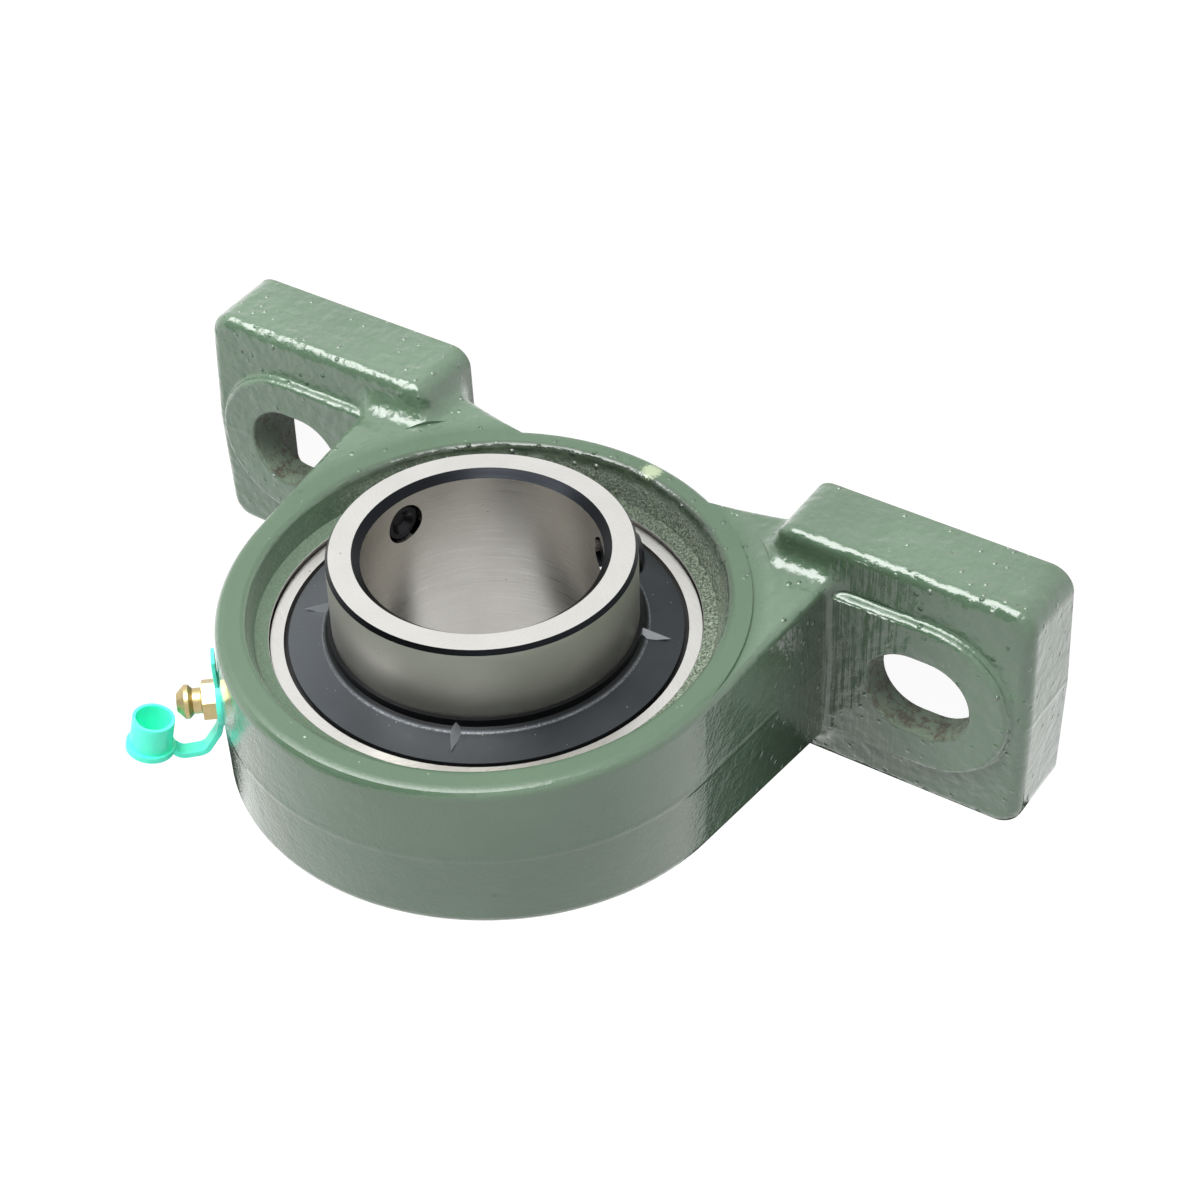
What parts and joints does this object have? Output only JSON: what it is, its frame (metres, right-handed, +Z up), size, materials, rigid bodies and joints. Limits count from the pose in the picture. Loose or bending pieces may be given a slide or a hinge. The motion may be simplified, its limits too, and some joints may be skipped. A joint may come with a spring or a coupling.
{
  "type": "pillow block bearing",
  "caption": "Cast pillow block on two slotted feet, with a self-aligning ball bearing insert, set screws, grease nipple and tethered dust cap.",
  "frame": {"origin": "midway between the two bolt slots, on the base plane", "axes": "+X along the base through the bolt slots; +Y along the shaft, away from the set screws; +Z up through the crown"},
  "size_m": [0.19, 0.0567, 0.105],
  "materials": {
    "green_enamel_iron": "gloss green enamel over rough cast iron",
    "ring_steel": "ground",
    "ball_steel": "polished",
    "cage_steel": "pressed sheet",
    "seal_rubber": "matt",
    "slinger_steel": "dark satin coating",
    "black_screw_steel": "black oxide",
    "nipple_brass": "turned",
    "spring_steel": "drawn wire",
    "mint_plastic": "soft translucent moulding"
  },
  "bodies": {
    "base": {"housing": "green_enamel_iron", "grease_nipple": "nipple_brass", "nipple_spring": "spring_steel"},
    "insert": {"outer_ring": "ring_steel", "front_seal": "seal_rubber", "back_seal": "seal_rubber"},
    "shaft_ring": {"inner_ring": "ring_steel", "front_slinger": "slinger_steel", "back_slinger": "slinger_steel"},
    "cage": {"cage_front": "cage_steel", "cage_back": "cage_steel", "cage_rivets": "cage_steel"},
    "screw_1": {"set_screw_1": "black_screw_steel"},
    "screw_2": {"set_screw_2": "black_screw_steel"},
    "check_ball": {"nipple_check_ball": "ball_steel"},
    "cap": {"dust_cap": "mint_plastic"},
    "ball_1": {"ball_1": "ball_steel"},
    "ball_2": {"ball_2": "ball_steel"},
    "ball_3": {"ball_3": "ball_steel"},
    "ball_4": {"ball_4": "ball_steel"},
    "ball_5": {"ball_5": "ball_steel"},
    "ball_6": {"ball_6": "ball_steel"},
    "ball_7": {"ball_7": "ball_steel"},
    "ball_8": {"ball_8": "ball_steel"},
    "ball_9": {"ball_9": "ball_steel"}
  },
  "joints": [
    {"name": "insert_swivel", "type": "hinge", "parent": "base", "child": "insert", "pos_m": [0, 0, 0.054], "axis": [1, 0, 0], "range_deg": [-5, 5]},
    {"name": "shaft_spin", "type": "hinge", "parent": "insert", "child": "shaft_ring", "pos_m": [0, 0, 0.054], "axis": [0, 1, 0], "continuous": true},
    {"name": "cage_spin", "type": "hinge", "parent": "insert", "child": "cage", "pos_m": [0, 0, 0.054], "axis": [0, 1, 0], "continuous": true},
    {"name": "ball_1_spin", "type": "hinge", "parent": "cage", "child": "ball_1", "pos_m": [0, 0, 0.0865], "axis": [0, 1, 0], "continuous": true},
    {"name": "ball_2_spin", "type": "hinge", "parent": "cage", "child": "ball_2", "pos_m": [-0.02089, 0, 0.0789], "axis": [0, 1, 0], "continuous": true},
    {"name": "ball_3_spin", "type": "hinge", "parent": "cage", "child": "ball_3", "pos_m": [-0.03201, 0, 0.05964], "axis": [0, 1, 0], "continuous": true},
    {"name": "ball_4_spin", "type": "hinge", "parent": "cage", "child": "ball_4", "pos_m": [-0.02815, 0, 0.03775], "axis": [0, 1, 0], "continuous": true},
    {"name": "ball_5_spin", "type": "hinge", "parent": "cage", "child": "ball_5", "pos_m": [-0.01112, 0, 0.02346], "axis": [0, 1, 0], "continuous": true},
    {"name": "ball_6_spin", "type": "hinge", "parent": "cage", "child": "ball_6", "pos_m": [0.01112, 0, 0.02346], "axis": [0, 1, 0], "continuous": true},
    {"name": "ball_7_spin", "type": "hinge", "parent": "cage", "child": "ball_7", "pos_m": [0.02815, 0, 0.03775], "axis": [0, 1, 0], "continuous": true},
    {"name": "ball_8_spin", "type": "hinge", "parent": "cage", "child": "ball_8", "pos_m": [0.03201, 0, 0.05964], "axis": [0, 1, 0], "continuous": true},
    {"name": "ball_9_spin", "type": "hinge", "parent": "cage", "child": "ball_9", "pos_m": [0.02089, 0, 0.0789], "axis": [0, 1, 0], "continuous": true},
    {"name": "screw_1_slide", "type": "slide", "parent": "shaft_ring", "child": "screw_1", "axis": [0.9703, 0, -0.2419], "range_m": [-0.0005, 0.003]},
    {"name": "screw_2_slide", "type": "slide", "parent": "shaft_ring", "child": "screw_2", "axis": [-0.6947, 0, -0.7193], "range_m": [-0.0005, 0.003]},
    {"name": "check_ball_slide", "type": "slide", "parent": "base", "child": "check_ball", "axis": [0.766, 0, 0.6428], "range_m": [-0.0008, 0], "stiffness_N_per_m": 100, "springref_m": 0.0005, "deforming": ["nipple_spring"]},
    {"name": "dust_cap_swivel", "type": "hinge", "parent": "base", "child": "cap", "pos_m": [0.03876, 0, 0.08653], "axis": [0.766, 0, 0.6428], "continuous": true}
  ],
  "couplings": [
    {"joint": "cage_spin", "follows": "shaft_spin", "ratio": 0.40231},
    {"joint": "ball_1_spin", "follows": "shaft_spin", "ratio": -2.4614},
    {"joint": "ball_2_spin", "follows": "shaft_spin", "ratio": -2.4614},
    {"joint": "ball_3_spin", "follows": "shaft_spin", "ratio": -2.4614},
    {"joint": "ball_4_spin", "follows": "shaft_spin", "ratio": -2.4614},
    {"joint": "ball_5_spin", "follows": "shaft_spin", "ratio": -2.4614},
    {"joint": "ball_6_spin", "follows": "shaft_spin", "ratio": -2.4614},
    {"joint": "ball_7_spin", "follows": "shaft_spin", "ratio": -2.4614},
    {"joint": "ball_8_spin", "follows": "shaft_spin", "ratio": -2.4614},
    {"joint": "ball_9_spin", "follows": "shaft_spin", "ratio": -2.4614}
  ]
}
